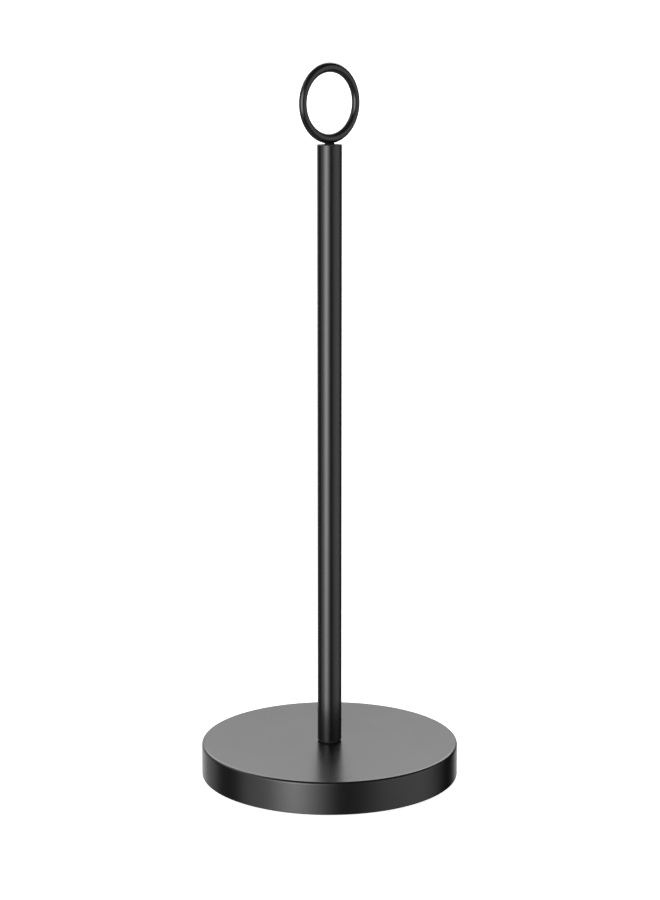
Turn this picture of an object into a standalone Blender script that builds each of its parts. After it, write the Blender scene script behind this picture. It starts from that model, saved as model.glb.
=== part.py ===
"""A paper towel holder: a weighted round base, a slim upright pole and a ring to carry it by.

Metres, +Z up. The origin is the centre of the foot ring's underside, and the pole stands on the Z axis.
The ring lies in the XZ plane, so it is seen face on along Y. A bolt from below holds the pole, and a
threaded stud holds the ring; both have right-hand threads on the Z axis, made here as plain cylinders.
"""

import math

import bmesh
import bpy
from mathutils import Matrix

# Driving dimensions
BASE_RADIUS = 0.065
BASE_HEIGHT = 0.0165
EDGE_RADIUS = 0.0013
POLE_RADIUS = 0.0061
POLE_LENGTH = 0.3005
RING_RADIUS = 0.01705  # to the middle of its section
RING_SECTION = 0.0019  # the section's radius where it is round, at the ring's sides
RING_HALF_THICK = 0.00235  # its half height at the ring's top and bottom, where it is oval

# Walls and sheets
COVER_WALL = 0.0012
PLATE_THICKNESS = 0.0016
PLATE_RECESS = 0.0012  # how far the plate sits up inside the cover's skirt
FOOT_PROUD = 0.0008
TUBE_WALL = 0.001
GAP = 0.0003  # between pieces that touch

# Fasteners
BOLT_RADIUS = 0.003
BOLT_LENGTH = 0.025
BOLT_HEAD_ACROSS_FLATS = 0.010
BOLT_HEAD_HEIGHT = 0.004
BOLT_RECESS_RADIUS = 0.009
BOLT_RECESS_DEPTH = 0.0071  # up into the weight
WASHER_THICKNESS = 0.0016
WASHER_RADIUS = 0.0062
LOCK_WASHER_RADIUS = 0.0058
STUD_RADIUS = 0.002
STUD_LENGTH = 0.010
SPIGOT_RADIUS = 0.0009
SPIGOT_LENGTH = 0.0023
NECK_RADIUS = 0.0027
NECK_HEIGHT = 0.0006
NECK_CLEARANCE = 0.0002  # between the neck and the pole's top
NECK_SHOWS = 0.00035  # from the pole's top to the ring's lowest point
SCREW_COUNT = 3
SCREW_RADIUS = 0.0013
SCREW_HEAD_RADIUS = 0.0028
SCREW_LENGTH = 0.0080
SCREW_CIRCLE = 0.046
SCREW_KEY_ACROSS_FLATS = 0.002
SCREW_KEY_DEPTH = 0.0012
SCREW_SUNK = 0.0001

# Plugs, washers and the foot
BOTTOM_PLUG_LENGTH = 0.018
TOP_PLUG_LENGTH = 0.012
POLE_WASHER_THICKNESS = 0.0003
RING_WASHER_THICKNESS = 0.0005
RING_WASHER_RADIUS = 0.0033
RING_WASHER_SUNK = 0.0001  # below the pole's top
FOOT_OUTER_RADIUS = 0.0610
FOOT_INNER_RADIUS = 0.0530
FOOT_EDGE_RADIUS = 0.0006

# Heights that follow
COVER_BOTTOM = FOOT_PROUD
COVER_TOP = COVER_BOTTOM + BASE_HEIGHT
PLATE_BOTTOM = COVER_BOTTOM + PLATE_RECESS
PLATE_TOP = PLATE_BOTTOM + PLATE_THICKNESS
WEIGHT_BOTTOM = PLATE_TOP + GAP
WEIGHT_TOP = COVER_TOP - COVER_WALL - GAP
WEIGHT_RADIUS = BASE_RADIUS - COVER_WALL - 2 * GAP
RECESS_TOP = WEIGHT_BOTTOM + BOLT_RECESS_DEPTH
WASHER_TOP = RECESS_TOP - GAP
LOCK_WASHER_TOP = WASHER_TOP - WASHER_THICKNESS - GAP
BOLT_SEAT = LOCK_WASHER_TOP - WASHER_THICKNESS - GAP
POLE_BOTTOM = COVER_TOP + POLE_WASHER_THICKNESS + 2 * GAP
POLE_TOP = POLE_BOTTOM + POLE_LENGTH
PLUG_RADIUS = POLE_RADIUS - TUBE_WALL - GAP
BORE_RADIUS = BOLT_RADIUS + GAP
STUD_BORE_RADIUS = STUD_RADIUS + GAP
NECK_BOTTOM = POLE_TOP + NECK_CLEARANCE
NECK_TOP = NECK_BOTTOM + NECK_HEIGHT
RING_CENTRE = POLE_TOP + NECK_SHOWS + RING_RADIUS + RING_HALF_THICK

# How finely round pieces are divided
SEGMENTS_COVER = 96
SEGMENTS_BIG = 64
SEGMENTS_SMALL = 48
SEGMENTS_TINY = 24
RING_STEPS = 60
RING_SIDES = 16

CUT_PAST = 0.001  # how far a cutter runs past the face that it cuts


# Shapes

def arc(centre, radius, start, end, steps):
    """Points on an arc in the (radius, height) plane, in degrees from the radius direction."""
    turns = [math.radians(start + (end - start) * step / steps) for step in range(steps + 1)]
    return [(centre[0] + radius * math.cos(a), centre[1] + radius * math.sin(a)) for a in turns]


def add_object(name, bm):
    """A new object with its faces pointing outwards, shaded smooth between sharp edges."""
    bmesh.ops.remove_doubles(bm, verts=bm.verts, dist=1e-7)
    bmesh.ops.recalc_face_normals(bm, faces=bm.faces)
    mesh = bpy.data.meshes.new(name)
    bm.to_mesh(mesh)
    bm.free()
    mesh.shade_smooth()
    mesh.set_sharp_from_angle(angle=math.radians(35))
    obj = bpy.data.objects.new(name, mesh)
    bpy.context.scene.collection.objects.link(obj)
    return obj


def turned(name, outline, segments):
    """A closed outline of (radius, height) points turned once round the Z axis."""
    bm = bmesh.new()
    points = [bm.verts.new((radius, 0, height)) for radius, height in outline]
    edges = [bm.edges.new((a, b)) for a, b in zip(points, points[1:] + points[:1])]
    bmesh.ops.spin(
        bm,
        geom=points + edges,
        cent=(0, 0, 0),
        axis=(0, 0, 1),
        angle=math.tau,
        steps=segments,
        use_merge=True,
    )
    return add_object(name, bm)


def bored_disc(name, outer, inner, bottom, top, segments):
    """A flat disc with a round hole, between two heights."""
    return turned(name, [(inner, bottom), (outer, bottom), (outer, top), (inner, top)], segments)


def hexagon(name, across_flats, bottom, top):
    """A hexagonal prism on the Z axis with two flats square to Y."""
    bm = bmesh.new()
    turn = Matrix.Rotation(math.radians(30), 4, "Z")
    corner = across_flats / math.sqrt(3)
    middle = Matrix.Translation((0, 0, (bottom + top) / 2))
    bmesh.ops.create_cone(
        bm,
        cap_ends=True,
        segments=6,
        radius1=corner,
        radius2=corner,
        depth=top - bottom,
        matrix=middle @ turn,
    )
    return add_object(name, bm)


def shape_with(body, tool, operation):
    """Cuts a helper object from a body, or joins it on. The helper is left out of the build."""
    tool.hide_render = True
    tool.display_type = "WIRE"
    modifier = body.modifiers.new(tool.name, "BOOLEAN")
    modifier.operation = operation
    modifier.solver = "EXACT"
    modifier.object = tool


def screw_places():
    """Where the base plate's screws go, evenly round their circle."""
    turns = [math.tau * (0.25 + number / SCREW_COUNT) for number in range(SCREW_COUNT)]
    return [(SCREW_CIRCLE * math.cos(a), SCREW_CIRCLE * math.sin(a), 0) for a in turns]


def cut_at_screws(body, name, outline):
    """Cuts the same turned hole at each screw."""
    for number, place in enumerate(screw_places(), 1):
        tool = turned(f"{name}_{number}", outline, SEGMENTS_TINY)
        tool.location = place
        shape_with(body, tool, "DIFFERENCE")


# Materials

def finish(obj, colour, roughness, metallic=0.0):
    """Gives an object its own surface."""
    material = bpy.data.materials.new(f"{obj.name}_finish")
    material.use_nodes = True
    shader = material.node_tree.nodes["Principled BSDF"]
    shader.inputs["Base Color"].default_value = (*colour, 1)
    shader.inputs["Roughness"].default_value = roughness
    shader.inputs["Metallic"].default_value = metallic
    obj.data.materials.append(material)


def black_coat(obj):
    """Satin black powder coat on steel."""
    finish(obj, (0.007, 0.007, 0.0071), 0.33)


def raw_cast_iron(obj):
    finish(obj, (0.07, 0.068, 0.066), 0.7, 1.0)


def zinc_plate(obj):
    finish(obj, (0.56, 0.57, 0.58), 0.32, 1.0)


def spring_steel(obj):
    finish(obj, (0.16, 0.16, 0.17), 0.4, 1.0)


def black_rubber(obj):
    finish(obj, (0.015, 0.015, 0.015), 0.75)


def black_nylon(obj):
    finish(obj, (0.02, 0.02, 0.02), 0.5)


# The base

def base_cover():
    """A pressed cap with a small radius along its top edge and a hole for the bolt."""
    inner = BASE_RADIUS - COVER_WALL
    under = COVER_TOP - COVER_WALL
    corner = (BASE_RADIUS - EDGE_RADIUS, COVER_TOP - EDGE_RADIUS)
    outline = [(inner, COVER_BOTTOM), (BASE_RADIUS, COVER_BOTTOM)]
    outline += arc(corner, EDGE_RADIUS, 0, 90, 5)
    outline += [(BORE_RADIUS, COVER_TOP), (BORE_RADIUS, under), (inner, under)]
    black_coat(turned("base_cover", outline, SEGMENTS_COVER))


def base_weight():
    """A cast disc that fills the cover, with a recess under it for the bolt's head."""
    chamfer = 0.001
    outline = [
        (BOLT_RECESS_RADIUS, WEIGHT_BOTTOM),
        (WEIGHT_RADIUS - chamfer, WEIGHT_BOTTOM),
        (WEIGHT_RADIUS, WEIGHT_BOTTOM + chamfer),
        (WEIGHT_RADIUS, WEIGHT_TOP - chamfer),
        (WEIGHT_RADIUS - chamfer, WEIGHT_TOP),
        (BORE_RADIUS, WEIGHT_TOP),
        (BORE_RADIUS, RECESS_TOP),
        (BOLT_RECESS_RADIUS, RECESS_TOP),
    ]
    weight = turned("base_weight", outline, SEGMENTS_BIG)
    radius = SCREW_RADIUS + GAP
    depth = PLATE_BOTTOM + SCREW_LENGTH + 2 * GAP
    below = WEIGHT_BOTTOM - CUT_PAST
    cut_at_screws(weight, "weight_hole", [(0, below), (radius, below), (radius, depth), (0, depth)])
    raw_cast_iron(weight)


def base_plate():
    """The sheet that closes the cover from below, countersunk for its screws."""
    outer = BASE_RADIUS - COVER_WALL - GAP
    inner = BOLT_RECESS_RADIUS + GAP
    plate = bored_disc("base_plate", outer, inner, PLATE_BOTTOM, PLATE_TOP, SEGMENTS_BIG)
    head = SCREW_HEAD_RADIUS + GAP
    shank = SCREW_RADIUS + GAP
    sink = PLATE_BOTTOM + head - shank
    low = PLATE_BOTTOM - CUT_PAST
    high = PLATE_TOP + CUT_PAST
    outline = [(0, low), (head, low), (head, PLATE_BOTTOM), (shank, sink), (shank, high), (0, high)]
    cut_at_screws(plate, "plate_hole", outline)
    black_coat(plate)


def base_screws():
    """Countersunk screws with a hexagonal socket, from the plate up into the weight."""
    face = PLATE_BOTTOM + SCREW_SUNK
    cone_top = face + SCREW_HEAD_RADIUS - SCREW_RADIUS
    tip = face + SCREW_LENGTH
    outline = [
        (0, face),
        (SCREW_HEAD_RADIUS, face),
        (SCREW_RADIUS, cone_top),
        (SCREW_RADIUS, tip - SCREW_RADIUS / 2),
        (SCREW_RADIUS / 2, tip),
        (0, tip),
    ]
    for number, place in enumerate(screw_places(), 1):
        screw = turned(f"base_screw_{number}", outline, SEGMENTS_TINY)
        socket = face + SCREW_KEY_DEPTH
        key = hexagon(f"screw_key_{number}", SCREW_KEY_ACROSS_FLATS, face - CUT_PAST, socket)
        screw.location = place
        key.location = place
        shape_with(screw, key, "DIFFERENCE")
        zinc_plate(screw)


def foot_ring():
    """The rubber ring that the holder stands on, with rounded lower edges."""
    edge = FOOT_EDGE_RADIUS
    top = PLATE_BOTTOM - GAP
    outline = arc((FOOT_INNER_RADIUS + edge, edge), edge, 180, 270, 3)
    outline += arc((FOOT_OUTER_RADIUS - edge, edge), edge, 270, 360, 3)
    outline += [(FOOT_OUTER_RADIUS, top), (FOOT_INNER_RADIUS, top)]
    black_rubber(turned("foot_ring", outline, SEGMENTS_BIG))


def pole_bolt():
    """The hexagon head bolt, head down, whose thread stands up out of the base into the pole."""
    tip = BOLT_SEAT + BOLT_LENGTH
    chamfer = 0.0006
    outline = [
        (0, BOLT_SEAT - BOLT_HEAD_HEIGHT / 2),
        (BOLT_RADIUS, BOLT_SEAT - BOLT_HEAD_HEIGHT / 2),
        (BOLT_RADIUS, tip - chamfer),
        (BOLT_RADIUS - chamfer, tip),
        (0, tip),
    ]
    bolt = turned("pole_bolt", outline, SEGMENTS_SMALL)
    head = hexagon("bolt_head", BOLT_HEAD_ACROSS_FLATS, BOLT_SEAT - BOLT_HEAD_HEIGHT, BOLT_SEAT)
    shape_with(bolt, head, "UNION")
    zinc_plate(bolt)


def bolt_washers():
    """A flat washer against the weight, and a split spring washer against the bolt's head."""
    bottom = WASHER_TOP - WASHER_THICKNESS
    zinc_plate(bored_disc("bolt_washer", WASHER_RADIUS, BORE_RADIUS, bottom, WASHER_TOP, SEGMENTS_SMALL))
    bottom = LOCK_WASHER_TOP - WASHER_THICKNESS
    washer = bored_disc(
        "bolt_lock_washer", LOCK_WASHER_RADIUS, BORE_RADIUS, bottom, LOCK_WASHER_TOP, SEGMENTS_SMALL
    )
    bm = bmesh.new()
    middle = Matrix.Translation((0, (BORE_RADIUS + LOCK_WASHER_RADIUS) / 2, (bottom + LOCK_WASHER_TOP) / 2))
    slant = Matrix.Rotation(math.radians(25), 4, "Y")
    size = Matrix.Diagonal((0.0006, 2 * (LOCK_WASHER_RADIUS - BORE_RADIUS), 3 * WASHER_THICKNESS, 1))
    bmesh.ops.create_cube(bm, size=1, matrix=middle @ slant @ size)
    shape_with(washer, add_object("washer_split", bm), "DIFFERENCE")
    spring_steel(washer)


# The pole

def pole_washer():
    """The thin gasket between the cover and the pole's foot."""
    bottom = COVER_TOP + GAP
    outer = POLE_RADIUS - GAP
    top = bottom + POLE_WASHER_THICKNESS
    black_nylon(bored_disc("pole_washer", outer, BORE_RADIUS, bottom, top, SEGMENTS_SMALL))


def pole_tube():
    inner = POLE_RADIUS - TUBE_WALL
    black_coat(bored_disc("pole_tube", POLE_RADIUS, inner, POLE_BOTTOM, POLE_TOP, SEGMENTS_SMALL))


def pole_bottom_plug():
    """The tapped plug that the bolt screws into, with a lead-in at its mouth."""
    bottom = POLE_BOTTOM + GAP
    top = bottom + BOTTOM_PLUG_LENGTH
    lead = 0.0006
    outline = [
        (BORE_RADIUS + lead, bottom),
        (PLUG_RADIUS, bottom),
        (PLUG_RADIUS, top),
        (BORE_RADIUS, top),
        (BORE_RADIUS, bottom + lead),
    ]
    zinc_plate(turned("pole_bottom_plug", outline, SEGMENTS_SMALL))


def pole_top_plug():
    """The tapped plug that closes the pole, level with its end and counterbored for the ring's washer."""
    bottom = POLE_TOP - TOP_PLUG_LENGTH
    counterbore = RING_WASHER_RADIUS + GAP
    floor = POLE_TOP - RING_WASHER_THICKNESS - GAP
    outline = [
        (STUD_BORE_RADIUS, bottom),
        (PLUG_RADIUS, bottom),
        (PLUG_RADIUS, POLE_TOP),
        (counterbore, POLE_TOP),
        (counterbore, floor),
        (STUD_BORE_RADIUS, floor),
    ]
    black_coat(turned("pole_top_plug", outline, SEGMENTS_SMALL))


# The ring

def ring_washer():
    """The thin washer let into the pole's top."""
    outer = RING_WASHER_RADIUS
    top = POLE_TOP - RING_WASHER_SUNK
    bottom = top - RING_WASHER_THICKNESS
    black_nylon(bored_disc("ring_washer", outer, STUD_BORE_RADIUS, bottom, top, SEGMENTS_SMALL))


def ring_stud():
    """The threaded stud under the ring, with a neck that bears on the pole and a spigot into the ring."""
    tip = NECK_BOTTOM - STUD_LENGTH
    chamfer = 0.0004
    outline = [
        (0, tip),
        (STUD_RADIUS - chamfer, tip),
        (STUD_RADIUS, tip + chamfer),
        (STUD_RADIUS, NECK_BOTTOM),
        (NECK_RADIUS, NECK_BOTTOM),
        (NECK_RADIUS, NECK_TOP),
        (SPIGOT_RADIUS, NECK_TOP),
        (SPIGOT_RADIUS, NECK_TOP + SPIGOT_LENGTH),
        (0, NECK_TOP + SPIGOT_LENGTH),
    ]
    black_coat(turned("ring_stud", outline, SEGMENTS_SMALL))


def swell(vertex):
    """Moves a point of the round-sectioned ring out or in, to make the ring thicker at its top and bottom."""
    reach = math.hypot(vertex.co.x, vertex.co.z)
    upright = (vertex.co.z / reach) ** 2
    swollen = RING_RADIUS + (reach - RING_RADIUS) * (1 + (RING_HALF_THICK / RING_SECTION - 1) * upright)
    vertex.co.x *= swollen / reach
    vertex.co.z *= swollen / reach


def ring():
    """A ring that is a little thicker at its top and bottom, cut underneath for the stud's neck and spigot."""
    bm = bmesh.new()
    section = bmesh.ops.create_circle(bm, segments=RING_SIDES, radius=RING_SECTION)["verts"]
    bmesh.ops.translate(bm, verts=section, vec=(RING_RADIUS, 0, 0))
    bmesh.ops.spin(
        bm,
        geom=section + bm.edges[:],
        cent=(0, 0, 0),
        axis=(0, 1, 0),
        angle=math.tau,
        steps=RING_STEPS,
        use_merge=True,
    )
    for vertex in bm.verts:
        swell(vertex)
    bmesh.ops.translate(bm, verts=bm.verts, vec=(0, 0, RING_CENTRE))
    body = add_object("ring", bm)
    seat = NECK_TOP + GAP
    spot = [(0, POLE_TOP), (NECK_RADIUS + GAP, POLE_TOP), (NECK_RADIUS + GAP, seat), (0, seat)]
    hole_top = seat + SPIGOT_LENGTH
    hole = SPIGOT_RADIUS + GAP
    shape_with(body, turned("ring_seat", spot, SEGMENTS_SMALL), "DIFFERENCE")
    hole_outline = [(0, POLE_TOP), (hole, POLE_TOP), (hole, hole_top), (0, hole_top)]
    shape_with(body, turned("ring_hole", hole_outline, SEGMENTS_TINY), "DIFFERENCE")
    black_coat(body)


for old in list(bpy.data.objects):
    bpy.data.objects.remove(old)

base_cover()
base_weight()
base_plate()
base_screws()
foot_ring()
pole_bolt()
bolt_washers()
pole_washer()
pole_tube()
pole_bottom_plug()
pole_top_plug()
ring_washer()
ring_stud()
ring()
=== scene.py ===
import math
import bmesh
import bpy
from mathutils import Matrix, Vector


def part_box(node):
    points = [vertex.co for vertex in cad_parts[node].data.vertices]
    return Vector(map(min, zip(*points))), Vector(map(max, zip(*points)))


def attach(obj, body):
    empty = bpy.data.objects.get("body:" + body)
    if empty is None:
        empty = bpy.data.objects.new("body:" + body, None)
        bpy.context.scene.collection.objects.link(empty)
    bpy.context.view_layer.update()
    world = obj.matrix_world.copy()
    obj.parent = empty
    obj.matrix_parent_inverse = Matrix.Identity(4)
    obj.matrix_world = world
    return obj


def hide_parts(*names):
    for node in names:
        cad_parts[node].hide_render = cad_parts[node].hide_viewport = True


# Paper towel holder: weighted round base, slim pole, carrying ring on top
# Everything is in metres and sits where the loaded frame says
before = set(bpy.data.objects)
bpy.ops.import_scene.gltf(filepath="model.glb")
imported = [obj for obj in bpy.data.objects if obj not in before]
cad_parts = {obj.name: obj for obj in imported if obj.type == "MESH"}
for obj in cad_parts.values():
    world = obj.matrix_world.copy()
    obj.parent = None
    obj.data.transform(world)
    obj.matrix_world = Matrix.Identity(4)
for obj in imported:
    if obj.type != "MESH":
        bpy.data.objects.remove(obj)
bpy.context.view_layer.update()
scene = bpy.context.scene
scene.view_settings.view_transform = "Standard"  # keeps the white ground white
print("frame loaded:", len(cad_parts), "nodes")


# Node helpers, for shader trees and geometry trees alike

def addNode(tree, kind, values=None, **settings):
    made = tree.nodes.new(kind)
    for name, value in settings.items():
        setattr(made, name, value)
    for name, value in (values or {}).items():
        socket = made.inputs[name]
        if isinstance(value, bpy.types.NodeSocket):
            tree.links.new(value, socket)
        else:
            socket.default_value = value
    return made


def maths(tree, operation, *values):
    made = addNode(tree, "ShaderNodeMath", dict(enumerate(values)), operation=operation)
    return made.outputs[0]


def plus(tree, first, second):
    return maths(tree, "ADD", first, second)


def minus(tree, first, second):
    return maths(tree, "SUBTRACT", first, second)


def times(tree, first, second):
    return maths(tree, "MULTIPLY", first, second)


def over(tree, first, second):
    return maths(tree, "DIVIDE", first, second)


def squared(tree, value):
    return maths(tree, "POWER", value, 2.0)


# A value that runs smoothly from low at start to high at end
def ramp(tree, value, start, end, low=0.0, high=1.0):
    sizes = {"Value": value, "From Min": start, "From Max": end, "To Min": low, "To Max": high}
    return addNode(tree, "ShaderNodeMapRange", sizes, interpolation_type="SMOOTHSTEP").outputs[0]


def vector(tree, parts):
    return addNode(tree, "ShaderNodeCombineXYZ", parts).outputs[0]


# Mesh helpers

weld = 1e-7  # points closer than this are one
sliver = 4e-6  # edges shorter than this go after a boolean
seam = 0.00002  # hairline left between pieces that touch
overlap = 0.0002  # how far two shapes reach into each other before they are joined
clear = 0.001  # how far a cutting shape stands out of what it cuts
pieceSides = 96  # round a small turned piece
holeSides = 48  # round a hole


# Corners are (radius, height, rounding); a rounded corner gets an arc and a support point on each side
def rounded(corners, steps=6, support=0.00015):
    outline = []
    for number, (radius, height, rounding) in enumerate(corners):
        corner = Vector((radius, height))
        if not rounding:
            outline.append(corner)
            continue
        back = (Vector(corners[number - 1][:2]) - corner).normalized()
        ahead = (Vector(corners[(number + 1) % len(corners)][:2]) - corner).normalized()
        half = math.acos(max(-1, min(1, back.dot(ahead)))) / 2
        reach = rounding / math.tan(half)
        centre = corner + (back + ahead).normalized() * rounding / math.sin(half)
        spoke = corner + back * reach - centre
        bend = math.pi - 2 * half
        if spoke.x * (corner - centre).y - spoke.y * (corner - centre).x < 0:
            bend = -bend
        outline.append(corner + back * (reach + support))
        for step in range(steps + 1):
            outline.append(centre + Matrix.Rotation(bend * step / steps, 2) @ spoke)
        outline.append(corner + ahead * (reach + support))
    return outline


def newObject(name, mesh):
    made = bpy.data.objects.new(name, mesh)
    scene.collection.objects.link(made)
    return made


def fromBmesh(name, bm):
    bmesh.ops.remove_doubles(bm, verts=bm.verts, dist=weld)
    bmesh.ops.recalc_face_normals(bm, faces=bm.faces)
    mesh = bpy.data.meshes.new(name)
    bm.to_mesh(mesh)
    bm.free()
    return newObject(name, mesh)


# A closed outline of (radius, height) points turned round Z, all the way or part of it
def turned(name, outline, segments, angle=math.tau):
    bm = bmesh.new()
    whole = angle == math.tau
    rows = []
    for step in range(segments if whole else segments + 1):
        turn = Matrix.Rotation(angle * step / segments, 3, "Z")
        rows.append([bm.verts.new(turn @ Vector((radius, 0, height))) for radius, height in outline])
    if not whole:
        bm.faces.new(rows[0])
        bm.faces.new(rows[-1])
    onAxis = [radius == 0 for radius, height in outline]
    for row, after in zip(rows, rows[1:] + rows[:1] if whole else rows[1:]):
        for here in range(len(outline)):
            below = here - 1
            if not (onAxis[here] and onAxis[below]):
                bm.faces.new((row[below], row[here], after[here], after[below]))
    return fromBmesh(name, bm)


# A hexagonal prism with two flats square to Y
def hexPrism(name, acrossFlats, bottom, top):
    bm = bmesh.new()
    place = Matrix.Translation((0, 0, (bottom + top) / 2)) @ Matrix.Rotation(math.radians(30), 4, "Z")
    corner = acrossFlats / math.sqrt(3)
    bmesh.ops.create_cone(
        bm, cap_ends=True, segments=6, radius1=corner, radius2=corner, depth=top - bottom, matrix=place
    )
    return fromBmesh(name, bm)


# The evaluated mesh, as a plain one
def plainMesh(obj):
    mesh = bpy.data.meshes.new_from_object(obj.evaluated_get(bpy.context.evaluated_depsgraph_get()))
    obj.modifiers.clear()
    obj.data = mesh
    return obj


# Joins or cuts body with tool, which is used up
def combine(body, tool, operation):
    modifier = body.modifiers.new("combine", "BOOLEAN")
    modifier.operation = operation
    modifier.solver = "EXACT"
    modifier.object = tool
    plainMesh(body)
    bpy.data.objects.remove(tool)
    bm = bmesh.new()
    bm.from_mesh(body.data)
    bmesh.ops.dissolve_degenerate(bm, dist=sliver, edges=bm.edges)
    bm.to_mesh(body.data)
    bm.free()
    return body


def moved(obj, place):
    obj.data.transform(Matrix.Translation(place))
    return obj


# Closes the open ends of a tube
def capEnds(obj):
    bm = bmesh.new()
    bm.from_mesh(obj.data)
    bmesh.ops.holes_fill(bm, edges=[edge for edge in bm.edges if edge.is_boundary])
    bmesh.ops.recalc_face_normals(bm, faces=bm.faces)
    bm.to_mesh(obj.data)
    bm.free()
    return obj


# Shades a finished piece, gives it its finish and ties it to the frame
def settle(piece, finish, slotName, body, *nodes):
    crease = math.radians(35)
    piece.data.materials.clear()
    piece.data.materials.append(finish)
    piece.data.polygons.foreach_set("material_index", [0] * len(piece.data.polygons))
    piece.data.shade_smooth()
    piece.data.set_sharp_from_angle(angle=crease)
    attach(piece, body)
    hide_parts(*nodes)
    print("piece", piece.name, "on", body, len(piece.data.polygons), "faces")


# Geometry trees

def newTree(name, inputs):
    tree = bpy.data.node_groups.new(name, "GeometryNodeTree")
    for label, kind in inputs.items():
        tree.interface.new_socket(label, in_out="INPUT", socket_type="NodeSocket" + kind)
    tree.interface.new_socket("Geometry", in_out="OUTPUT", socket_type="NodeSocketGeometry")
    return tree, addNode(tree, "NodeGroupInput").outputs


# Each point's own X, Y and Z
def position(tree):
    place = addNode(tree, "GeometryNodeInputPosition").outputs[0]
    return addNode(tree, "ShaderNodeSeparateXYZ", {0: place}).outputs


# Every tree ends the same way
def endTree(tree, geometry, finish):
    real = addNode(tree, "GeometryNodeRealizeInstances", {"Geometry": geometry})
    painted = addNode(tree, "GeometryNodeSetMaterial", {"Geometry": real.outputs[0], "Material": finish})
    addNode(tree, "NodeGroupOutput", {"Geometry": painted.outputs[0]})


# Runs a tree with the given sizes and keeps the result as a plain mesh
def grown(name, tree, sizes, start=None):
    obj = start or newObject(name, bpy.data.meshes.new(name))
    modifier = obj.modifiers.new("grow", "NODES")
    modifier.node_group = tree
    for item in tree.interface.items_tree:
        if item.in_out == "INPUT" and item.name in sizes:
            modifier[item.identifier] = sizes[item.name]
    return plainMesh(obj)


# Materials: each reads Object coordinates in metres, so detail sizes are real sizes

def newFinish(name):
    material = bpy.data.materials.new(name)
    material.use_nodes = True
    tree = material.node_tree
    shader = tree.nodes["Principled BSDF"]
    place = addNode(tree, "ShaderNodeTexCoord").outputs["Object"]
    return material, tree, shader, place


noiseRange = (0.3, 0.7)  # where most of a noise's values lie


# Noise with features of about this size in metres
def grain(tree, place, size, detail=2.0, rough=0.5):
    sizes = {"Vector": place, "Scale": 1 / size, "Detail": detail, "Roughness": rough}
    return addNode(tree, "ShaderNodeTexNoise", sizes).outputs["Fac"]


# The same noise as patches, which run from low to high between start and end
def patches(
    tree, place, size, detail=2.0, rough=0.5, start=noiseRange[0], end=noiseRange[1], low=0.0, high=1.0
):
    return ramp(tree, grain(tree, place, size, detail, rough), start, end, low, high)


# 1 on edges and corners, 0 on open faces
def edgeMask(tree, reach, low=0.02, high=0.35):
    bevel = addNode(tree, "ShaderNodeBevel", {"Radius": reach}, samples=4).outputs[0]
    plain = addNode(tree, "ShaderNodeNewGeometry").outputs["Normal"]
    dot = addNode(tree, "ShaderNodeVectorMath", {0: bevel, 1: plain}, operation="DOT_PRODUCT")
    return ramp(tree, minus(tree, 1.0, dot.outputs["Value"]), low, high)


def mixed(tree, amount, first, second):
    made = addNode(tree, "ShaderNodeMix", {"Factor": amount}, data_type="RGBA")
    for socket, value in ((made.inputs[6], first), (made.inputs[7], second)):
        if isinstance(value, bpy.types.NodeSocket):
            tree.links.new(value, socket)
        else:
            socket.default_value = (*value, 1)
    return made.outputs[2]


# heights is a list of (value, depth in metres) that are stacked into one surface
def roughen(tree, shader, heights):
    normal = None
    for value, depth in heights:
        values = {"Height": value, "Distance": depth, "Strength": 1.0}
        if normal:
            values["Normal"] = normal
        normal = addNode(tree, "ShaderNodeBump", values).outputs[0]
    tree.links.new(normal, shader.inputs["Normal"])


coatLook = {
    "colours": ((0.0056, 0.0056, 0.0057), (0.0070, 0.0070, 0.0070)),
    "clouds": {"size": 0.035, "detail": 3.0, "start": 0.35},  # slow change in depth
    "specks": {"size": 0.0006, "start": 0.62, "end": 0.74, "high": 0.35},
    "edgeColour": (0.014, 0.014, 0.014),  # where the coat is drawn thin
    "edgeReach": 0.0007,
    "edgeAmount": 0.6,
    "edgeRoughness": 0.06,  # added to the rest
    "roughness": {"size": 0.02, "detail": 4.0, "low": 0.245, "high": 0.265},
    "refraction": 1.5,
    "peel": {"size": 0.0009, "detail": 1.0},  # orange peel
    "peelDepth": 0.0000008,
    "powder": {"size": 0.00022},
    "powderDepth": 0.0000002,
}


def satinBlackCoat():
    material, tree, shader, place = newFinish("satinBlackCoat")
    clouds = patches(tree, place, **coatLook["clouds"])
    specks = patches(tree, place, **coatLook["specks"])
    edge = times(tree, edgeMask(tree, coatLook["edgeReach"]), coatLook["edgeAmount"])
    colour = mixed(tree, clouds, *coatLook["colours"])
    colour = mixed(tree, specks, colour, coatLook["colours"][1])
    colour = mixed(tree, edge, colour, coatLook["edgeColour"])
    tree.links.new(colour, shader.inputs["Base Color"])
    satin = patches(tree, place, **coatLook["roughness"])
    satin = plus(tree, satin, times(tree, edge, coatLook["edgeRoughness"]))
    tree.links.new(satin, shader.inputs["Roughness"])
    shader.inputs["IOR"].default_value = coatLook["refraction"]
    peel = grain(tree, place, **coatLook["peel"])
    powder = grain(tree, place, **coatLook["powder"])
    roughen(tree, shader, [(peel, coatLook["peelDepth"]), (powder, coatLook["powderDepth"])])
    return material


ironLook = {
    "colours": ((0.060, 0.058, 0.056), (0.105, 0.100, 0.096)),
    "scale": {"size": 0.006, "detail": 5.0, "rough": 0.6, "start": 0.35},
    "scaleDepth": 0.00012,
    "sand": {"size": 0.0007, "detail": 6.0, "rough": 0.65},  # left by the mould
    "sandDepth": 0.00009,
    "rust": {"size": 0.011, "detail": 6.0, "rough": 0.7, "start": 0.58, "end": 0.75, "high": 0.45},
    "rustColour": (0.120, 0.062, 0.035),
    "edgeColour": (0.20, 0.195, 0.19),
    "edgeReach": 0.0006,
    "roughness": (0.55, 0.85),
    "metallic": (0.9, 0.3),  # clean, rusty
}


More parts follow.
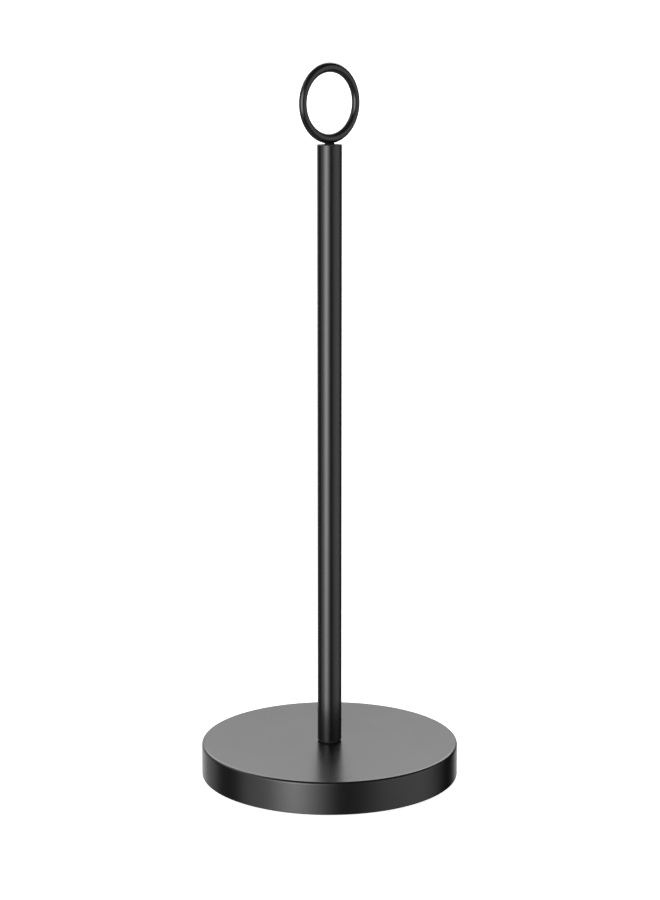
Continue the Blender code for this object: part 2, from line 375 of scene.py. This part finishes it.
def rawCastIron():
    material, tree, shader, place = newFinish("rawCastIron")
    sand = grain(tree, place, **ironLook["sand"])
    scale = patches(tree, place, **ironLook["scale"])
    rust = patches(tree, place, **ironLook["rust"])
    colour = mixed(tree, scale, *ironLook["colours"])
    colour = mixed(tree, rust, colour, ironLook["rustColour"])
    colour = mixed(tree, edgeMask(tree, ironLook["edgeReach"]), colour, ironLook["edgeColour"])
    tree.links.new(colour, shader.inputs["Base Color"])
    tree.links.new(ramp(tree, sand, *noiseRange, *ironLook["roughness"]), shader.inputs["Roughness"])
    metallic = ramp(tree, rust, 0.0, ironLook["rust"]["high"], *ironLook["metallic"])
    tree.links.new(metallic, shader.inputs["Metallic"])
    roughen(tree, shader, [(scale, ironLook["scaleDepth"]), (sand, ironLook["sandDepth"])])
    return material


zincLook = {
    "colours": ((0.50, 0.51, 0.53), (0.60, 0.61, 0.62)),
    "bloom": {"size": 0.004, "detail": 4.0, "rough": 0.6},
    "stain": {"size": 0.0012, "detail": 5.0, "rough": 0.6, "start": 0.55, "end": 0.8, "high": 0.5},
    "stainColour": (0.36, 0.35, 0.32),
    "edgeColour": (0.72, 0.72, 0.73),
    "edgeReach": 0.0003,
    "brush": {"size": 0.0003, "detail": 3.0},
    "brushDepth": 0.000004,
    "roughness": (0.24, 0.42),
}


def zincPlate():
    material, tree, shader, place = newFinish("zincPlate")
    bloom = patches(tree, place, **zincLook["bloom"])
    stain = patches(tree, place, **zincLook["stain"])
    colour = mixed(tree, bloom, *zincLook["colours"])
    colour = mixed(tree, stain, colour, zincLook["stainColour"])
    colour = mixed(tree, edgeMask(tree, zincLook["edgeReach"]), colour, zincLook["edgeColour"])
    tree.links.new(colour, shader.inputs["Base Color"])
    shader.inputs["Metallic"].default_value = 1.0
    brush = grain(tree, place, **zincLook["brush"])
    tree.links.new(ramp(tree, brush, *noiseRange, *zincLook["roughness"]), shader.inputs["Roughness"])
    roughen(tree, shader, [(brush, zincLook["brushDepth"])])
    return material


# The plainer finishes: one pattern sets colour and roughness together
springLook = {
    "colours": ((0.075, 0.072, 0.074), (0.17, 0.17, 0.18)),
    "pattern": {"size": 0.003, "detail": 4.0, "start": 0.35},  # oil
    "roughness": (0.28, 0.46),
    "edgeColour": (0.36, 0.36, 0.37),
    "edgeReach": 0.0003,
    "metallic": 1.0,
    "relief": {"size": 0.0004, "detail": 3.0},
    "reliefDepth": 0.000006,
}
rubberLook = {
    "colours": ((0.012, 0.012, 0.012), (0.030, 0.029, 0.028)),
    "pattern": {"size": 0.005, "detail": 5.0, "rough": 0.6, "start": 0.45, "end": 0.8},  # dust
    "roughness": (0.62, 0.82),
    "edgeColour": (0.045, 0.044, 0.043),
    "edgeReach": 0.0004,
    "relief": {"size": 0.0005, "detail": 4.0},
    "reliefDepth": 0.00002,
}
nylonLook = {
    "colours": ((0.005, 0.005, 0.005), (0.009, 0.009, 0.009)),
    "pattern": {"size": 0.0025, "detail": 3.0, "start": 0.35},  # flow marks
    "roughness": (0.58, 0.68),
    "subsurface": 0.02,
    "relief": {"size": 0.0004, "detail": 3.0},
    "reliefDepth": 0.000005,
}


def plainFinish(name, look):
    material, tree, shader, place = newFinish(name)
    pattern = patches(tree, place, **look["pattern"])
    colour = mixed(tree, pattern, *look["colours"])
    if "edgeColour" in look:
        colour = mixed(tree, edgeMask(tree, look["edgeReach"]), colour, look["edgeColour"])
    tree.links.new(colour, shader.inputs["Base Color"])
    tree.links.new(ramp(tree, pattern, 0.0, 1.0, *look["roughness"]), shader.inputs["Roughness"])
    shader.inputs["Metallic"].default_value = look.get("metallic", 0.0)
    shader.inputs["Subsurface Weight"].default_value = look.get("subsurface", 0.0)
    roughen(tree, shader, [(grain(tree, place, **look["relief"]), look["reliefDepth"])])
    return material


blackCoat = satinBlackCoat()
castIron = rawCastIron()
zinc = zincPlate()
springSteel = plainFinish("oiledSpringSteel", springLook)
rubber = plainFinish("footRubber", rubberLook)
nylon = plainFinish("washerNylon", nylonLook)
print("finishes made")


# Camera
view = {
    "azimuth": -41.5,  # degrees round from the front, to the left
    "distance": 1.0914,  # level distance from the pole's axis
    "height": 0.3804,
    "pitch": 11.02,  # degrees down
    "lens": 89.45,
    "sensor": 36,
    "shift": 0.0005,
}


def makeCamera():
    made = bpy.data.objects.new("camera", bpy.data.cameras.new("camera"))
    scene.collection.objects.link(made)
    turn = math.radians(view["azimuth"])
    reach = view["distance"]
    made.location = (math.sin(turn) * reach, -math.cos(turn) * reach, view["height"])
    made.rotation_euler = (math.radians(90 - view["pitch"]), 0, turn)
    made.data.lens = view["lens"]
    made.data.sensor_width = view["sensor"]
    made.data.shift_x = view["shift"]
    scene.camera = made


# Studio: soft boxes all round at a distance, placed in degrees from the camera's side, right is plus
studio = {
    "zenith": {"start": 25, "end": 75, "high": 0.1},
    "nadir": {"start": -30, "end": -70, "high": 0.4},
    "ground": 1.15,  # what the camera sees behind everything
    "boxes": [
        # middle, half width, edge, strength, lowest and highest elevation, edge
        (-30.8, 16, 25, 8.3, -21, 24, 5),
        (-73, 11.7, 8, 0.95, -40, 20, 8),
        (70, 34.4, 24, 1.17, -26, 24, 12),
        (-146, 25, 8, 0.45, -50, 22, 8),
        (166, 7, 8, 0.45, -50, 22, 8),
        (180, 30, 8, 0.50, -50, 22, 3),
        (180, 36, 8, 4.0, 22, 50, 3),
        (-98, 34, 10, 1.3, 24, 55, 6),
    ],
}


def makeStudio():
    world = bpy.data.worlds.new("studio")
    scene.world = world
    world.use_nodes = True
    tree = world.node_tree
    tree.nodes.clear()
    way = addNode(tree, "ShaderNodeTexCoord").outputs["Generated"]
    turn = {"Vector": way, "Angle": math.radians(-view["azimuth"])}
    way = addNode(tree, "ShaderNodeVectorRotate", turn, rotation_type="Z_AXIS").outputs[0]
    parts = addNode(tree, "ShaderNodeSeparateXYZ", {0: way}).outputs
    azimuth = maths(tree, "ARCTAN2", parts["X"], times(tree, parts["Y"], -1.0))
    azimuth = maths(tree, "DEGREES", azimuth)
    elevation = maths(tree, "DEGREES", maths(tree, "ARCSINE", parts["Z"]))
    light = ramp(tree, elevation, **studio["zenith"])
    for middle, halfWidth, side, strength, low, high, end in studio["boxes"]:
        off = maths(tree, "WRAP", minus(tree, azimuth, middle), 180, -180)
        off = maths(tree, "ABSOLUTE", off)
        across = ramp(tree, off, halfWidth + side, halfWidth - side)
        lower = ramp(tree, elevation, low - end, low + end)
        upper = ramp(tree, elevation, high + end, high - end)
        box = times(tree, across, times(tree, lower, upper))
        light = plus(tree, light, times(tree, box, strength))
    light = plus(tree, light, ramp(tree, elevation, **studio["nadir"]))
    seen = addNode(tree, "ShaderNodeLightPath").outputs["Is Camera Ray"]
    light = maths(tree, "MAXIMUM", light, times(tree, seen, studio["ground"]))
    glow = addNode(tree, "ShaderNodeBackground", {"Color": light})
    addNode(tree, "ShaderNodeOutputWorld", {"Surface": glow.outputs[0]})


# A plain pale floor that only the camera sees, so that the boxes can reach below it
floorLook = {"half": 12.0, "colour": 0.9, "roughness": 0.9, "glow": 0.9}


def makeFloor():
    bm = bmesh.new()
    bmesh.ops.create_grid(bm, x_segments=1, y_segments=1, size=floorLook["half"])
    floor = newObject("floor", bpy.data.meshes.new("floor"))
    bm.to_mesh(floor.data)
    bm.free()
    material = bpy.data.materials.new("paleFloor")
    material.use_nodes = True
    shader = material.node_tree.nodes["Principled BSDF"]
    shader.inputs["Base Color"].default_value = (*[floorLook["colour"]] * 3, 1)
    shader.inputs["Roughness"].default_value = floorLook["roughness"]
    shader.inputs["Emission Color"].default_value = (1, 1, 1, 1)
    shader.inputs["Emission Strength"].default_value = floorLook["glow"]
    floor.data.materials.append(material)
    floor.visible_diffuse = False
    floor.visible_glossy = False
    floor.visible_shadow = False


makeCamera()
makeStudio()
makeFloor()
print("studio ready")


# Where a node's round shape lies: radius, lowest and highest height
def extent(node):
    low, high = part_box(node)
    return high[0], low[2], high[2]


poleRadius, poleBottom, poleTop = extent("pole_tube")
coverRadius, coverBottom, coverTop = extent("base_cover")
plateRadius, plateBottom, plateTop = extent("base_plate")
neckRadius, studTip, spigotTop = extent("ring_stud")


# Base cover: pressed shell with a small radius along its top edge
cover = {
    "segments": 256,
    "wall": 0.0012,
    "topEdge": 0.0013,
    "insideEdge": 0.0005,
    "rim": 0.0003,
    "hole": 0.0033,
}


def makeCover():
    inner = coverRadius - cover["wall"]
    under = coverTop - cover["wall"]
    outline = rounded([
        (inner, coverBottom, cover["rim"]),
        (coverRadius, coverBottom, cover["rim"]),
        (coverRadius, coverTop, cover["topEdge"]),
        (cover["hole"], coverTop, cover["rim"]),
        (cover["hole"], under, cover["rim"]),
        (inner, under, cover["insideEdge"]),
    ], steps=8)
    settle(turned("baseCover", outline, cover["segments"]), blackCoat, "black_coat", "base", "base_cover")


# Screw places come from the frame's own screws
def screwPlaces():
    places = []
    for number in (1, 2, 3):
        low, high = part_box(f"base_screw_{number}")
        places.append(Vector(((low[0] + high[0]) / 2, (low[1] + high[1]) / 2, 0)))
    return places


# Weight: cast disc with a recess for the bolt's head, a bore for its shank and three screw holes
weight = {
    "segments": 128, "edge": 0.0012,
    "recess": 0.009, "recessEdge": 0.0004, "recessFillet": 0.0008, "floor": 0.0110,
    "bore": 0.0033, "boreEdge": 0.0003,
    "screwHole": 0.0016, "screwRoom": 0.0005, "screwSides": 32,
}


def makeWeight():
    radius, bottom, top = extent("base_weight")
    outline = rounded([
        (weight["recess"], bottom, weight["recessEdge"]),
        (radius, bottom, weight["edge"]),
        (radius, top, weight["edge"]),
        (weight["bore"], top, weight["boreEdge"]),
        (weight["bore"], weight["floor"], weight["boreEdge"]),
        (weight["recess"], weight["floor"], weight["recessFillet"]),
    ])
    body = turned("baseWeight", outline, weight["segments"])
    side, low = weight["screwHole"], bottom - clear
    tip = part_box("base_screw_1")[1][2] + weight["screwRoom"]
    hole = [(0, low), (side, low), (side, tip), (0, tip)]
    for place in screwPlaces():
        combine(body, moved(turned("hole", hole, weight["screwSides"]), place), "DIFFERENCE")
    settle(body, castIron, "weight_iron", "base", "base_weight")


# Plate: sheet that closes the cover from below, countersunk for its screws
plate = {"segments": 192, "hole": 0.0093, "edge": 0.0004, "fit": 0.00025, "sinkRadius": 0.0030, "shank": 0.0015}


def makePlate():
    hole, outer, edge = plate["hole"], plateRadius + plate["fit"], plate["edge"]
    outline = rounded([
        (hole, plateBottom, edge), (outer, plateBottom, edge),
        (outer, plateTop, edge), (hole, plateTop, edge),
    ])
    sheet = turned("basePlate", outline, plate["segments"])
    head, shank = plate["sinkRadius"], plate["shank"]
    low, high = plateBottom - clear, plateTop + clear
    sink = [
        (0, low), (head, low), (head, plateBottom),
        (shank, plateBottom + head - shank), (shank, high), (0, high),
    ]
    for place in screwPlaces():
        combine(sheet, moved(turned("sink", sink, holeSides), place), "DIFFERENCE")
    settle(sheet, blackCoat, "black_coat", "base", "base_plate")


# Foot ring: rubber, with radial ribs pressed into its underside between two plain rims
foot = {
    "segments": 480, "width": 0.008, "edge": 0.0006, "edgeSteps": 5,
    "ribs": 120.0, "ribShare": 0.5, "ribStart": 0.125, "depth": 0.0004,
    "rim": 0.0014, "wall": 0.0003,
    "reach": 0.0001,  # room for finding the points that move
}


def footTree():
    tree, sizes = newTree("footRibs", {
        "Geometry": "Geometry", "Ribs": "Float", "Depth": "Float", "Inner": "Float", "Outer": "Float",
    })
    parts = position(tree)
    turns = over(tree, maths(tree, "ARCTAN2", parts["Y"], parts["X"]), math.tau)
    phase = maths(tree, "FRACT", plus(tree, times(tree, turns, sizes["Ribs"]), foot["ribStart"]))
    groove = maths(tree, "GREATER_THAN", phase, foot["ribShare"])
    radius = maths(tree, "SQRT", plus(tree, squared(tree, parts["X"]), squared(tree, parts["Y"])))
    past = maths(tree, "GREATER_THAN", radius, sizes["Inner"])
    before = maths(tree, "LESS_THAN", radius, sizes["Outer"])
    under = maths(tree, "LESS_THAN", parts["Z"], foot["reach"])
    where = times(tree, times(tree, groove, times(tree, past, before)), under)
    offset = vector(tree, {"Z": times(tree, where, sizes["Depth"])})
    pressed = addNode(tree, "GeometryNodeSetPosition", {"Geometry": sizes["Geometry"], "Offset": offset})
    endTree(tree, pressed.outputs[0], rubber)
    return tree


def makeFoot():
    low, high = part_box("foot_ring")
    outer, bottom, top = high[0], low[2], plateBottom - seam
    inner = outer - foot["width"]
    edge = foot["edge"]
    corners = rounded(
        [(inner, bottom, edge), (outer, bottom, edge), (outer, top, 0), (inner, top, 0)], foot["edgeSteps"]
    )
    ribIn, ribOut = inner + foot["rim"], outer - foot["rim"]
    walls = (ribIn, ribIn + foot["wall"], ribOut - foot["wall"], ribOut)
    first = foot["edgeSteps"] + 3  # points that the inner corner takes
    outline = corners[:first] + [Vector((reach, bottom)) for reach in walls] + corners[first:]
    ring = turned("footRing", outline, foot["segments"])
    sizes = {
        "Ribs": foot["ribs"], "Depth": foot["depth"],
        "Inner": ribIn + foot["reach"], "Outer": ribOut - foot["reach"],
    }
    settle(grown("footRing", footTree(), sizes, ring), rubber, "foot_rubber", "base", "foot_ring")


# Screw threads: a grid rolled up along a helix, so that crests and roots run true
thread = {
    "depth": 0.6134,  # depth, and the flats on crest and root, in pitches
    "crest": 0.125,
    "root": 0.25,
    "rows": 16,  # points across one pitch
    "runOut": 1.05,  # chamfer at a rod's ends, in depths
    "clearance": 0.0001,  # of a bore
    "mouth": 3,  # and at its ends, in clearances
    "sleeveEdge": 0.0003,
    "weld": 0.000001,
}


def threadTree():
    tree, sizes = newTree("thread", {
        "Radius": "Float", "Depth": "Float", "Pitch": "Float", "Low": "Float", "High": "Float",
        "End Radius": "Float", "Side": "Float", "Columns": "Int", "Rows": "Int",
    })
    low, high, side = sizes["Low"], sizes["High"], sizes["Side"]
    turns = maths(tree, "CEIL", over(tree, minus(tree, high, low), sizes["Pitch"]))
    turns = plus(tree, turns, 1.0)
    grid = addNode(tree, "GeometryNodeMeshGrid", {
        "Size X": 1.0, "Size Y": 1.0,
        "Vertices X": plus(tree, sizes["Columns"], 1.0),
        "Vertices Y": plus(tree, times(tree, turns, sizes["Rows"]), 1.0),
    })
    parts = position(tree)
    around = plus(tree, parts["X"], 0.5)
    along = times(tree, plus(tree, parts["Y"], 0.5), turns)
    climb = times(tree, plus(tree, minus(tree, along, 1.0), around), sizes["Pitch"])
    height = maths(tree, "MINIMUM", plus(tree, low, maths(tree, "MAXIMUM", climb, 0.0)), high)
    # 0 in the middle of a crest, 1 in the middle of a root
    tooth = minus(tree, times(tree, maths(tree, "FRACT", along), 2.0), 1.0)
    tooth = maths(tree, "ABSOLUTE", tooth)
    flats = {"Value": tooth, "From Min": thread["crest"], "From Max": 1 - thread["root"]}
    flank = addNode(tree, "ShaderNodeMapRange", flats).outputs[0]
    radius = minus(tree, sizes["Radius"], times(tree, sizes["Depth"], flank))
    # Both ends run out in a chamfer: inwards on a rod (Side 1), outwards in a bore (Side -1)
    nearest = maths(tree, "MINIMUM", minus(tree, height, low), minus(tree, high, height))
    limit = plus(tree, sizes["End Radius"], times(tree, side, nearest))
    radius = maths(tree, "MINIMUM", times(tree, side, radius), times(tree, side, limit))
    radius = times(tree, side, radius)
    angle = times(tree, around, math.tau)
    place = vector(tree, {
        "X": times(tree, radius, maths(tree, "COSINE", angle)),
        "Y": times(tree, radius, maths(tree, "SINE", angle)),
        "Z": height,
    })
    rolled = addNode(tree, "GeometryNodeSetPosition", {"Geometry": grid.outputs[0], "Position": place})
    joined = addNode(tree, "GeometryNodeMergeByDistance", {
        "Geometry": rolled.outputs[0], "Distance": thread["weld"],
    })
    endTree(tree, joined.outputs[0], zinc)
    return tree


threads = threadTree()


# A thread from low to high, closed at both ends
def threadCore(name, radius, endRadius, side, pitch, low, high, columns):
    sizes = {
        "Radius": radius, "Depth": thread["depth"] * pitch, "Pitch": pitch, "Low": low, "High": high,
        "End Radius": endRadius, "Side": side, "Columns": columns, "Rows": thread["rows"],
    }
    return capEnds(grown(name, threads, sizes))


def threadedRod(radius, pitch, low, high, columns):
    endRadius = radius - thread["depth"] * pitch * thread["runOut"]
    return threadCore("rod", radius, endRadius, 1.0, pitch, low, high, columns)


# A sleeve with a threaded bore
def threadedSleeve(name, outer, radius, pitch, low, high, columns):
    clearance, edge = thread["clearance"], thread["sleeveEdge"]
    mouth = radius + clearance * thread["mouth"]
    bore = threadCore("bore", radius + clearance, mouth, -1.0, pitch, low, high, columns)
    outline = rounded([(0, low, 0), (outer, low, edge), (outer, high, edge), (0, high, 0)], steps=4)
    return combine(turned(name, outline, pieceSides), bore, "DIFFERENCE")


# Bolt: hexagon head down in the weight's recess, thread up into the pole
bolt = {
    "acrossFlats": 0.010, "headHeight": 0.004,
    "flat": 0.475,  # radius of the head's round face, across flats as 1
    "chamfer": 30,  # degrees, round that face
    "seatShare": 3,  # the chamfer on the seat's side is a third as high
    "pitch": 0.001, "radius": 0.003, "columns": 48,
}


# Where the bolt's thread starts, which its plug's thread follows
def boltLow():
    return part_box("pole_bolt")[0][2] + bolt["headHeight"] - overlap


def makeBolt():
    low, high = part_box("pole_bolt")
    face, seat = low[2], low[2] + bolt["headHeight"]
    corner = bolt["acrossFlats"] / math.sqrt(3)
    flat = bolt["acrossFlats"] * bolt["flat"]
    head = hexPrism("poleBolt", bolt["acrossFlats"], face, seat)
    drop = (corner - flat) * math.tan(math.radians(bolt["chamfer"]))
    dome = [
        (0, face), (flat, face), (corner, face + drop), (corner, seat - drop / bolt["seatShare"]),
        (flat, seat - seam), (flat, seat), (0, seat),
    ]
    combine(head, turned("dome", dome, pieceSides), "INTERSECT")
    combine(head, threadedRod(bolt["radius"], bolt["pitch"], boltLow(), high[2], bolt["columns"]), "UNION")
    settle(head, zinc, "zinc_steel", "base", "pole_bolt")


# Washers under the bolt's head: a flat one, and a split spring washer
washers = {
    "hole": 0.0033, "holeEdge": 0.0001, "edge": 0.00025, "springEdge": 0.00015, "support": 0.00005,
    "springSides": 90, "gap": 9, "slant": 0.28,
}


def makeWashers():
    hole, support = washers["hole"], washers["support"]
    radius, bottom, top = extent("bolt_washer")
    inside, outside = washers["holeEdge"], washers["edge"]
    outline = rounded([
        (hole, bottom, inside), (radius, bottom, outside), (radius, top, outside), (hole, top, inside),
    ], steps=4, support=support)
    settle(turned("boltWasher", outline, pieceSides), zinc, "zinc_steel", "base", "bolt_washer")
    radius, bottom, top = extent("bolt_lock_washer")
    edge = washers["springEdge"]
    outline = rounded([
        (hole, bottom, edge), (radius, bottom, edge), (radius, top, edge), (hole, top, edge),
    ], steps=3, support=support)
    spring = turned("boltLockWasher", outline, washers["springSides"], math.radians(360 - washers["gap"]))
    middle = (bottom + top) / 2
    start = math.radians(90 + washers["gap"] / 2)
    for vertex in spring.data.vertices:
        slant = washers["slant"] * (vertex.co.z - middle) / (top - bottom)
        vertex.co = Matrix.Rotation(start + slant, 3, "Z") @ vertex.co
    settle(spring, springSteel, "spring_steel", "base", "bolt_lock_washer")


# Base screws: one screw made whole, then set round the circle
screw = {
    "key": 0.002, "keyDepth": 0.0012, "edge": 0.0001, "support": 0.00003,
    "pitch": 0.00045, "shank": 0.0013, "core": 0.8, "columns": 28,
    "twist": 0.61,  # how far each is turned beyond the one before
}


def screwTree(template):
    tree, sizes = newTree("screwRing", {"Count": "Int", "Circle": "Float", "Start": "Float", "Twist": "Float"})
    circle = addNode(tree, "GeometryNodeMeshCircle", {"Vertices": sizes["Count"], "Radius": sizes["Circle"]})
    turn = vector(tree, {"Z": sizes["Start"]})
    placed = addNode(tree, "GeometryNodeTransform", {"Geometry": circle.outputs[0], "Rotation": turn})
    spin = vector(tree, {
        "Z": times(tree, addNode(tree, "GeometryNodeInputIndex").outputs[0], sizes["Twist"]),
    })
    shape = addNode(tree, "GeometryNodeObjectInfo", {"Object": template})
    copies = addNode(tree, "GeometryNodeInstanceOnPoints", {
        "Points": placed.outputs[0], "Instance": shape.outputs["Geometry"], "Rotation": spin,
    })
    endTree(tree, copies.outputs[0], zinc)
    return tree


def makeScrews():
    low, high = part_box("base_screw_1")
    face, tip = low[2], high[2]
    head = (high[0] - low[0]) / 2
    shank = screw["shank"]
    cone = face + head - shank
    outline = rounded([
        (0, face, 0), (head, face, screw["edge"]),
        (shank * screw["core"], cone + overlap, 0), (0, cone + overlap, 0),
    ], steps=3, support=screw["support"])
    body = turned("screw", outline, holeSides)
    combine(body, threadedRod(shank, screw["pitch"], cone - overlap, tip, screw["columns"]), "UNION")
    combine(body, hexPrism("key", screw["key"], face - clear, face + screw["keyDepth"]), "DIFFERENCE")
    places = screwPlaces()
    sizes = {
        "Count": len(places),
        "Circle": places[0].length,
        "Start": math.atan2(places[0].y, places[0].x),
        "Twist": screw["twist"],
    }
    screws = grown("baseScrews", screwTree(body), sizes)
    bpy.data.objects.remove(body)
    settle(screws, zinc, "zinc_steel", "base", "base_screw_1", "base_screw_2", "base_screw_3")


makeCover()
makeWeight()
makePlate()
makeFoot()
makeBolt()
makeWashers()
makeScrews()
print("base made")


# Pole: drawn tube
pole = {"segments": 128, "wall": 0.001, "edge": 0.0004, "footEdge": 0.0001, "rows": 48}


def makePole():
    inner, sharp = poleRadius - pole["wall"], pole["footEdge"]
    outline = rounded([
        (inner, poleBottom, sharp), (poleRadius, poleBottom, sharp),
        (poleRadius, poleTop, pole["edge"]), (inner, poleTop, sharp),
    ], steps=5)
    half = len(outline) // 2
    run = poleTop - poleBottom
    rise = [poleBottom + run * row / pole["rows"] for row in range(1, pole["rows"])]
    outline = outline[:half] + [Vector((poleRadius, z)) for z in rise] + outline[half:]
    outline += [Vector((inner, z)) for z in reversed(rise)]
    settle(turned("poleTube", outline, pole["segments"]), blackCoat, "black_coat", "base", "pole_tube")


# Gasket between the pole's foot and the cover
gasket = {"inset": 0.0004, "edge": 0.0002, "hole": 0.0033, "holeEdge": 0.0001, "support": 0.00005}


def makeGasket():
    hole, outer = gasket["hole"], poleRadius - gasket["inset"]
    inside, outside = gasket["holeEdge"], gasket["edge"]
    low, high = coverTop + seam, poleBottom - seam
    outline = rounded([
        (hole, low, inside), (outer, low, outside), (outer, high, outside), (hole, high, inside),
    ], steps=4, support=gasket["support"])
    settle(turned("poleWasher", outline, pieceSides), nylon, "washer_nylon", "base", "pole_washer")


# Plugs: tapped for the bolt at the pole's foot, and bored for the ring's stud under a counterbore at its top
plug = {
    "columns": 48, "studBore": 0.0023, "counterbore": 0.0036, "counterDepth": 0.0008,
    "boreEdge": 0.0002, "lowEdge": 0.0003, "topEdge": 0.00012, "rimEdge": 0.00015, "floorEdge": 0.0001,
    "support": 0.00005,
}


def makePlugs():
    outer = poleRadius - pole["wall"] - seam
    low, high = extent("pole_bottom_plug")[1:]
    pitch = bolt["pitch"]
    start = boltLow() + math.ceil((low - boltLow()) / pitch) * pitch
    bottomPlug = threadedSleeve("poleBottomPlug", outer, bolt["radius"], pitch, start, high, plug["columns"])
    settle(bottomPlug, zinc, "zinc_steel", "base", "pole_bottom_plug")
    low = extent("pole_top_plug")[1]
    floor = poleTop - plug["counterDepth"]
    outline = rounded([
        (plug["studBore"], low, plug["boreEdge"]),
        (outer, low, plug["lowEdge"]),
        (outer, poleTop, plug["topEdge"]),
        (plug["counterbore"], poleTop, plug["rimEdge"]),
        (plug["counterbore"], floor, plug["floorEdge"]),
        (plug["studBore"], floor, plug["boreEdge"]),
    ], steps=4, support=plug["support"])
    settle(turned("poleTopPlug", outline, pieceSides), blackCoat, "black_coat", "base", "pole_top_plug")


makePole()
makeGasket()
makePlugs()
print("pole made")


# Ring: a round section swept round, a little thicker at the ring's top and bottom, with a seat and a hole
# underneath for its stud
ring = {
    "steps": 192, "sides": 40, "halfThick": 0.00235,
    "neckEdge": 0.0001, "neckWaist": 0.0021, "support": 0.00005,
    "spigot": 0.0009, "spigotLength": 0.0023, "spigotEdge": 0.0002,
    "pitch": 0.0007, "stud": 0.002, "columns": 40,
}


def ringTree():
    tree, sizes = newTree("ringSweep", {
        "Radius": "Float", "Section": "Float", "Half Thick": "Float", "Centre": "Float",
        "Steps": "Int", "Sides": "Int",
    })
    circles = [
        addNode(tree, "GeometryNodeCurvePrimitiveCircle", {"Resolution": sizes[count], "Radius": sizes[size]})
        for count, size in (("Steps", "Radius"), ("Sides", "Section"))
    ]
    path, section = [circle.outputs[0] for circle in circles]
    swept = addNode(tree, "GeometryNodeCurveToMesh", {"Curve": path, "Profile Curve": section})
    parts = position(tree)
    squares = plus(tree, squared(tree, parts["X"]), squared(tree, parts["Y"]))
    reach = maths(tree, "SQRT", squares)
    # 1 at the ring's top and bottom, 0 at its sides
    ends = over(tree, squared(tree, parts["Y"]), squares)
    swell = minus(tree, over(tree, sizes["Half Thick"], sizes["Section"]), 1.0)
    swell = plus(tree, times(tree, swell, ends), 1.0)
    swollen = times(tree, minus(tree, reach, sizes["Radius"]), swell)
    factor = over(tree, plus(tree, sizes["Radius"], swollen), reach)
    place = vector(tree, {
        "X": times(tree, parts["X"], factor), "Y": times(tree, parts["Y"], factor), "Z": parts["Z"],
    })
    shaped = addNode(tree, "GeometryNodeSetPosition", {"Geometry": swept.outputs[0], "Position": place})
    stood = addNode(tree, "GeometryNodeTransform", {
        "Geometry": shaped.outputs[0], "Rotation": (math.pi / 2, 0, 0),
        "Translation": vector(tree, {"Z": sizes["Centre"]}),
    })
    endTree(tree, stood.outputs[0], blackCoat)
    return tree


def makeRing():
    low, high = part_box("ring")
    section = high[1]
    radius = high[0] - section
    sizes = {
        "Radius": radius, "Section": section, "Half Thick": ring["halfThick"],
        "Centre": high[2] - radius - ring["halfThick"], "Steps": ring["steps"], "Sides": ring["sides"],
    }
    hoop = grown("carryRing", ringTree(), sizes)
    neckTop = spigotTop - ring["spigotLength"]
    seat = [(0, poleTop), (neckRadius + seam, poleTop), (ring["neckWaist"] + seam, neckTop), (0, neckTop)]
    combine(hoop, turned("seat", seat, pieceSides), "DIFFERENCE")
    hole = ring["spigot"] + seam
    bore = [(0, poleTop), (hole, poleTop), (hole, spigotTop + seam), (0, spigotTop + seam)]
    combine(hoop, turned("bore", bore, holeSides), "DIFFERENCE")
    settle(hoop, blackCoat, "black_coat", "ring", "ring")


# Stud: cone-shaped neck with a spigot up into the ring and a thread down into the pole
def makeStud():
    neckBottom = poleTop + seam
    neckTop = spigotTop - ring["spigotLength"] - seam
    outline = rounded([
        (0, neckBottom, 0),
        (neckRadius, neckBottom, ring["neckEdge"]),
        (ring["neckWaist"], neckTop, ring["neckEdge"]),
        (ring["spigot"], neckTop, 0),
        (ring["spigot"], spigotTop - seam, ring["spigotEdge"]),
        (0, spigotTop - seam, 0),
    ], steps=4, support=ring["support"])
    neck = turned("ringStud", outline, pieceSides)
    rod = threadedRod(ring["stud"], ring["pitch"], studTip, neckBottom + overlap, ring["columns"])
    combine(neck, rod, "UNION")
    settle(neck, blackCoat, "black_coat", "ring", "ring_stud")


# Ring washer: let into the counterbore, round the stud
ringWasher = {"gap": 0.0001, "edge": 0.0001, "support": 0.00004}


def makeRingWasher():
    inner, outer = plug["studBore"], plug["counterbore"] - ringWasher["gap"]
    low, high = poleTop - plug["counterDepth"] + seam, poleTop - seam
    edge = ringWasher["edge"]
    outline = rounded([
        (inner, low, edge), (outer, low, edge), (outer, high, edge), (inner, high, edge),
    ], steps=3, support=ringWasher["support"])
    settle(turned("ringWasher", outline, pieceSides), nylon, "washer_nylon", "ring_seat", "ring_washer")


makeRing()
makeStud()
makeRingWasher()
print("ring made")
